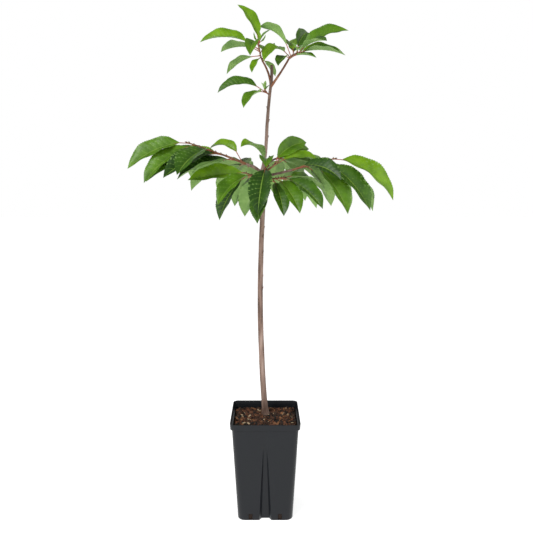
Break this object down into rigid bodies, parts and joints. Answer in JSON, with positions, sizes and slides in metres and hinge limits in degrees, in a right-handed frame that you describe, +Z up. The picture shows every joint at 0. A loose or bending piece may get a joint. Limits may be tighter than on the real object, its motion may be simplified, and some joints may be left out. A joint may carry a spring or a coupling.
{
  "type": "potted sweet cherry tree",
  "caption": "Young sweet cherry tree with a slim trunk and two tiers of drooping leaves, in a deep square black nursery pot.",
  "frame": {"origin": "middle of the pot's flat underside, on the ground", "axes": "+Z up along the height, -Y towards the viewer's front, +X to the viewer's right"},
  "size_m": [0.6317, 0.4325, 1.2405],
  "materials": {
    "pot": "satin",
    "compost": "rough",
    "bark": "matte",
    "twig": "satin",
    "leaf": "satin"
  },
  "bodies": {
    "root": {"pot": "pot", "compost": "compost", "trunk": "bark", "bough_left": "twig", "bough_right": "twig", "bough_right_upper": "twig", "bough_back_left": "twig", "bough_back_right": "twig", "bough_top_left": "twig", "bough_top_right": "twig", "foliage_left_outer": "leaf", "foliage_left_inner": "leaf", "foliage_front": "leaf", "foliage_right_inner": "leaf", "foliage_right_upper": "leaf", "foliage_right_outer": "leaf", "foliage_back_left": "leaf", "foliage_back_right": "leaf", "foliage_spur": "leaf", "foliage_top_left": "leaf", "foliage_top_right": "leaf"}
  },
  "joints": []
}
